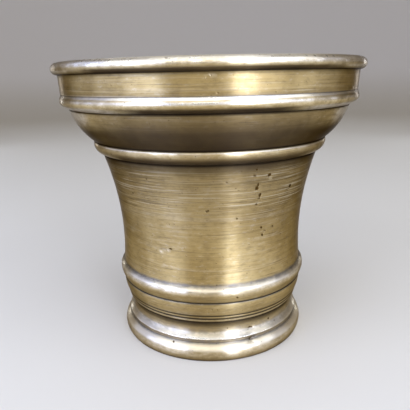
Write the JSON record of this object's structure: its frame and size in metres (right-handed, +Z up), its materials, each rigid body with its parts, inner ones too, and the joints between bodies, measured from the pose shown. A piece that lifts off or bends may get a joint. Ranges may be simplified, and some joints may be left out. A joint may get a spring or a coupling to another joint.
{
  "type": "grinding mortar bowl",
  "caption": "Heavy cast and turned mortar with a rounded lip, beaded mouldings over a flared waist, a deep round-bottomed bowl and a solid ring foot.",
  "frame": {"origin": "centre of the foot's flat ring face, on the surface that the bowl stands on", "axes": "+Z up along the axis of turning, out of the mouth; X and Y are alike on the turned body, and the chaplets lie midway between them"},
  "size_m": [0.136, 0.136, 0.125],
  "materials": {
    "cast_bronze": "worn and turned bronze with fine lathe lines and dark patina in the grooves",
    "plug_bronze": "slightly redder bronze, hammered flush and ground by use",
    "chaplet_iron": "dark rusted iron, flush with the metal round it"
  },
  "bodies": {
    "root": {"mortar_casting": "cast_bronze", "floor_plug": "plug_bronze", "core_chaplet_1": "chaplet_iron", "core_chaplet_2": "chaplet_iron", "core_chaplet_3": "chaplet_iron", "core_chaplet_4": "chaplet_iron"}
  },
  "joints": []
}
